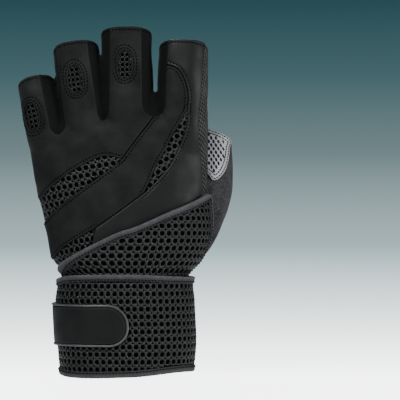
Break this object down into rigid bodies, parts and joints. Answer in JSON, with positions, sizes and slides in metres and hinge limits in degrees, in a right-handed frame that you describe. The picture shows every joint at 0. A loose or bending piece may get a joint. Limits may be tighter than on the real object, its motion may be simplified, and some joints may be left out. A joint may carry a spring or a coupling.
{
  "type": "weightlifting glove",
  "caption": "Fingerless left-hand weightlifting glove with mesh windows, a silver grip palm and a long wrist wrap wound round and closed.",
  "frame": {"origin": "middle of the wrist opening where the hand goes in, level with the wrap's lower edge", "axes": "+Z towards the fingers, -Y out of the back of the hand, +Y out of the palm, +X towards the thumb"},
  "size_m": [0.1155, 0.077, 0.1874],
  "materials": {
    "leather": "matt synthetic leather",
    "smooth_leather": "smooth leather with a soft sheen",
    "fabric": "stretch fabric",
    "knit": "fine textured knit",
    "mesh": "air mesh with open holes",
    "binding": "woven edge binding",
    "grip": "silver grip material with raised dark dots",
    "rubber": "satin moulded rubber",
    "hook": "hook fastener face"
  },
  "bodies": {
    "root": {"back_panel": "leather", "little_vent": "mesh", "ring_vent": "mesh", "middle_vent": "mesh", "back_mesh_window": "mesh", "arc_mesh_window": "mesh", "low_mesh_window": "mesh", "knuckle_pad": "leather", "index_panel": "smooth_leather", "palm_grip": "grip", "heel_pad": "grip", "little_ring_gusset": "fabric", "ring_middle_gusset": "fabric", "middle_index_gusset": "fabric", "little_side_gusset": "fabric", "index_side_gusset": "knit", "thumb_stall": "fabric", "thumb_tongue": "grip", "cuff": "fabric", "wrist_wrap": "mesh", "wrap_binding": "binding", "closing_tab": "rubber", "tab_rim": "binding", "hook_pad": "hook"}
  },
  "joints": []
}
